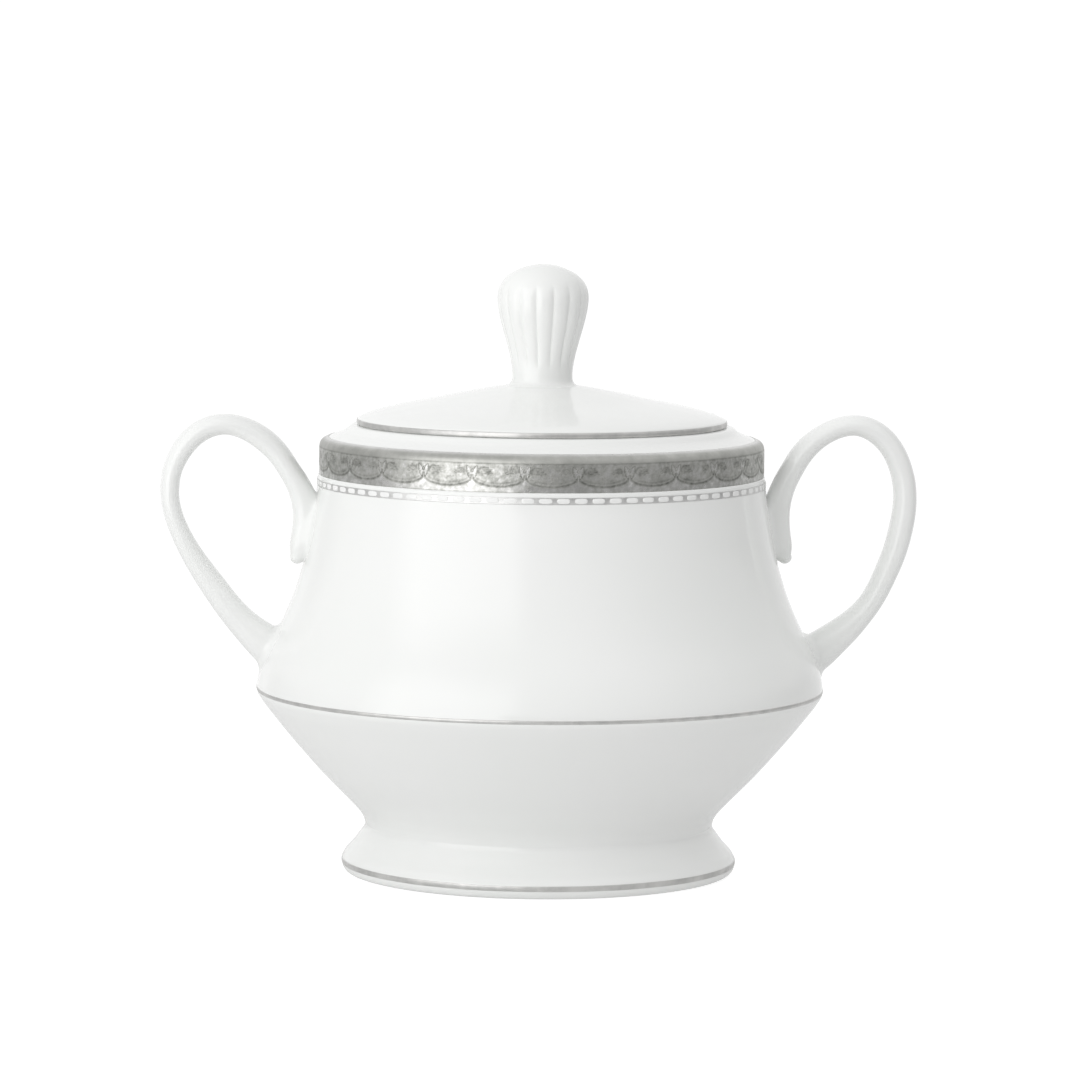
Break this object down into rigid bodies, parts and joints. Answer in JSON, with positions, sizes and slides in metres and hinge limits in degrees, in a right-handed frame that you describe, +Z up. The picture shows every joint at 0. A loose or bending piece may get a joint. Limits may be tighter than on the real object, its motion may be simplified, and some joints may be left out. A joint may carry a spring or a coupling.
{
  "type": "covered sugar bowl",
  "caption": "Covered two-handled sugar bowl in white glazed porcelain with a platinum rim band, on a spreading foot, with a lift-off domed lid and fluted knob.",
  "frame": {"origin": "centre of the resting plane, under the bowl's axis", "axes": "+Z up along the bowl's axis; +X through the right handle, so both handles lie in the XZ plane; +Y away from the front"},
  "size_m": [0.1497, 0.1122, 0.1203],
  "materials": {
    "porcelain": "gloss",
    "platinum": "satin",
    "bead_enamel": "gloss"
  },
  "bodies": {
    "bowl": {"bowl_body": "porcelain", "pedestal_foot": "porcelain", "left_handle": "porcelain", "right_handle": "porcelain", "rim_band": "platinum", "bead_border": "bead_enamel", "belly_line": "platinum", "foot_line": "platinum"},
    "lid": {"lid": "porcelain", "lid_knob": "porcelain", "lid_edge_line": "platinum"}
  },
  "joints": [
    {"name": "lid_lift", "type": "slide", "parent": "bowl", "child": "lid", "axis": [0, 0, 1], "range_m": [0, 0.06]}
  ]
}
